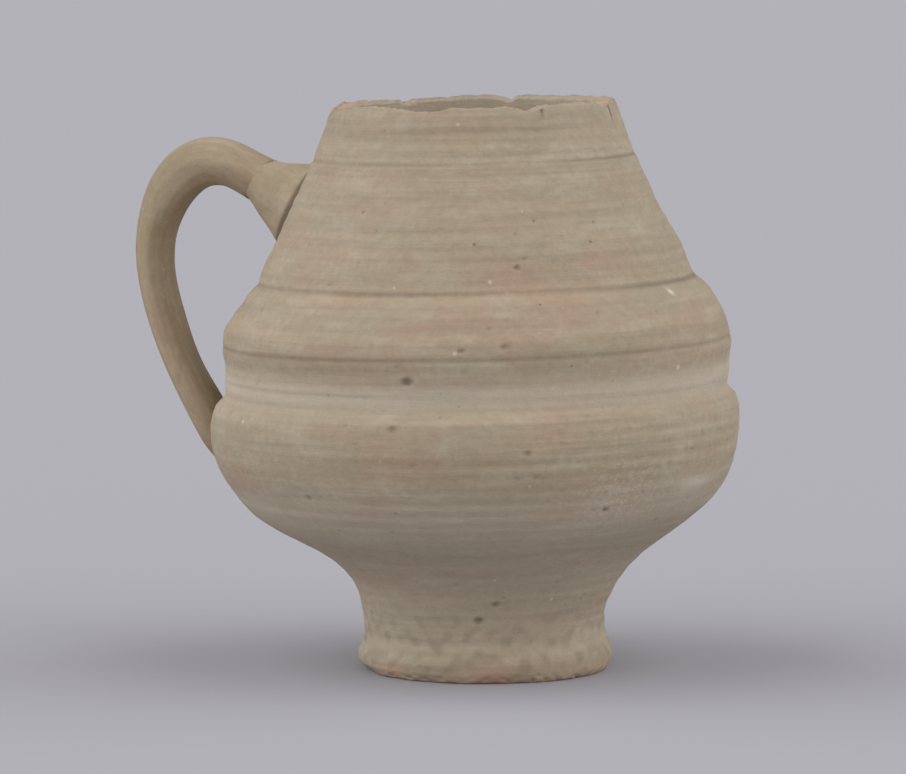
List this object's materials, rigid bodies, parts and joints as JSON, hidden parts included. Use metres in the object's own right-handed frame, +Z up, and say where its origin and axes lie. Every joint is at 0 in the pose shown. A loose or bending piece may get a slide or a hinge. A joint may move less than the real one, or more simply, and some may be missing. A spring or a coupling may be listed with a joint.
{
  "type": "cup",
  "caption": "Wheel-thrown pottery drinking cup: bulging, waisted body on a low solid foot, conical neck with a broken lip, and a strap handle from neck to belly.",
  "frame": {"origin": "middle of the foot's flat resting face, where the cup stands on the table", "axes": "+Z up; the handle stands towards -X in the plane y = 0; +Y completes a right-handed frame"},
  "size_m": [0.1116, 0.0958, 0.1033],
  "materials": {
    "body_clay": "matt unglazed buff earthenware, wiped smooth on the wheel",
    "handle_clay": "matt unglazed buff earthenware, rolled and wiped by hand",
    "wad_clay": "matt unglazed buff earthenware, smeared on soft"
  },
  "bodies": {
    "root": {"thrown_body": "body_clay", "handle_strap": "handle_clay", "upper_wad": "wad_clay", "lower_wad": "wad_clay"}
  },
  "joints": []
}
